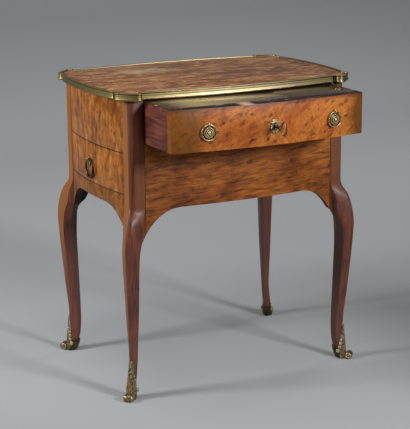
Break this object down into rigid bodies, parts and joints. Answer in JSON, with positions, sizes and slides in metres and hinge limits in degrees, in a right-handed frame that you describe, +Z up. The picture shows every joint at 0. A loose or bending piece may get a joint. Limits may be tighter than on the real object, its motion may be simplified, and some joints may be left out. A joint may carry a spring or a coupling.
{
  "type": "writing desk",
  "caption": "Small writing table with a brass-rimmed eared top, bowed drawer front, side drawer, cabriole legs and bronze foot mounts.",
  "frame": {"origin": "on the floor below the middle of the box that holds the table as stored, with its front drawer partly open", "axes": "+Z up; the drawer front faces -Y; the small side drawer is on -X"},
  "size_m": [0.636, 0.6221, 0.72],
  "materials": {
    "mahogany": "french-polished mahogany of posts and legs",
    "figured_mahogany": "polished plum-pudding mahogany veneer",
    "faded_mahogany": "polished faded mahogany veneer",
    "rosy_mahogany": "polished, lightly worn mahogany top",
    "purple_drawer_wood": "waxed drawer side",
    "dark_polished_leaf": "dark, highly polished writing leaf",
    "oak": "raw oak carcass and drawer linings",
    "brass": "polished brass with darker hollows",
    "gilt_bronze": "worn gilt bronze",
    "lock_steel": "aged steel lock and key"
  },
  "bodies": {
    "table": {"back_panel": "figured_mahogany", "bottom_board": "oak", "drawer_guide_left": "oak", "drawer_guide_right": "oak", "drawer_kicker_left": "oak", "drawer_kicker_right": "oak", "drawer_stop": "oak", "dust_board": "oak", "front_panel": "figured_mahogany", "left_apron": "faded_mahogany", "left_upper_panel": "faded_mahogany", "leg_back_left": "mahogany", "leg_back_right": "mahogany", "leg_front_left": "mahogany", "leg_front_right": "mahogany", "right_side_panel": "faded_mahogany", "rim_back": "brass", "rim_corner_back_left": "brass", "rim_corner_back_right": "brass", "rim_corner_front_left": "brass", "rim_corner_front_right": "brass", "rim_front": "brass", "rim_left": "brass", "rim_right": "brass", "sabot_back_left": "gilt_bronze", "sabot_back_right": "gilt_bronze", "sabot_front_left": "gilt_bronze", "sabot_front_right": "gilt_bronze", "side_drawer_guide_back": "oak", "side_drawer_guide_front": "oak", "side_drawer_stop": "oak", "top_panel": "rosy_mahogany"},
    "front_drawer": {"drawer_front": "figured_mahogany", "drawer_side_left": "purple_drawer_wood", "drawer_side_right": "purple_drawer_wood", "drawer_back": "oak", "drawer_bottom": "oak", "drawer_divider": "oak", "lock_case": "lock_steel", "key_escutcheon": "brass", "rosette_left": "brass", "rosette_right": "brass"},
    "writing_slide": {"writing_slide": "dark_polished_leaf"},
    "compartment_lid": {"compartment_lid": "dark_polished_leaf"},
    "lock_bolt": {"lock_bolt": "lock_steel"},
    "key": {"key": "lock_steel"},
    "pull_ring_left": {"pull_ring_left": "brass"},
    "pull_ring_right": {"pull_ring_right": "brass"},
    "side_drawer": {"side_drawer_front": "faded_mahogany", "side_drawer_side_front": "oak", "side_drawer_side_back": "oak", "side_drawer_bottom": "oak", "side_drawer_back": "oak", "side_pull_plate": "gilt_bronze"},
    "side_pull_ring": {"side_pull_ring": "gilt_bronze"}
  },
  "joints": [
    {"name": "front_drawer_slide", "type": "slide", "parent": "table", "child": "front_drawer", "axis": [0, -1, 0], "range_m": [-0.135, 0.1]},
    {"name": "side_drawer_slide", "type": "slide", "parent": "table", "child": "side_drawer", "axis": [-1, 0, 0], "range_m": [0, 0.3]},
    {"name": "writing_slide_slide", "type": "slide", "parent": "front_drawer", "child": "writing_slide", "axis": [0, 1, 0], "range_m": [0, 0.05]},
    {"name": "compartment_lid_slide", "type": "slide", "parent": "front_drawer", "child": "compartment_lid", "axis": [0, 1, 0], "range_m": [0, 0.05]},
    {"name": "key_turn", "type": "hinge", "parent": "front_drawer", "child": "key", "pos_m": [0, -0.2565, 0.6455], "axis": [0, -1, 0], "range_deg": [0, 135]},
    {"name": "lock_bolt_throw", "type": "slide", "parent": "front_drawer", "child": "lock_bolt", "axis": [0, 0, 1], "range_m": [0, 0.0072]},
    {"name": "pull_ring_left_lift", "type": "hinge", "parent": "front_drawer", "child": "pull_ring_left", "pos_m": [-0.15947, -0.2525, 0.6628], "axis": [-0.9938, 0.111, 0], "range_deg": [0, 90]},
    {"name": "pull_ring_right_lift", "type": "hinge", "parent": "front_drawer", "child": "pull_ring_right", "pos_m": [0.15947, -0.2525, 0.6628], "axis": [-0.9938, -0.111, 0], "range_deg": [0, 90]},
    {"name": "side_pull_ring_lift", "type": "hinge", "parent": "side_drawer", "child": "side_pull_ring", "pos_m": [-0.3004, 0.093, 0.5373], "axis": [0, 1, 0], "range_deg": [0, 90]}
  ],
  "couplings": [
    {"joint": "key_turn", "follows": "lock_bolt_throw", "rad_per_m": 327}
  ]
}
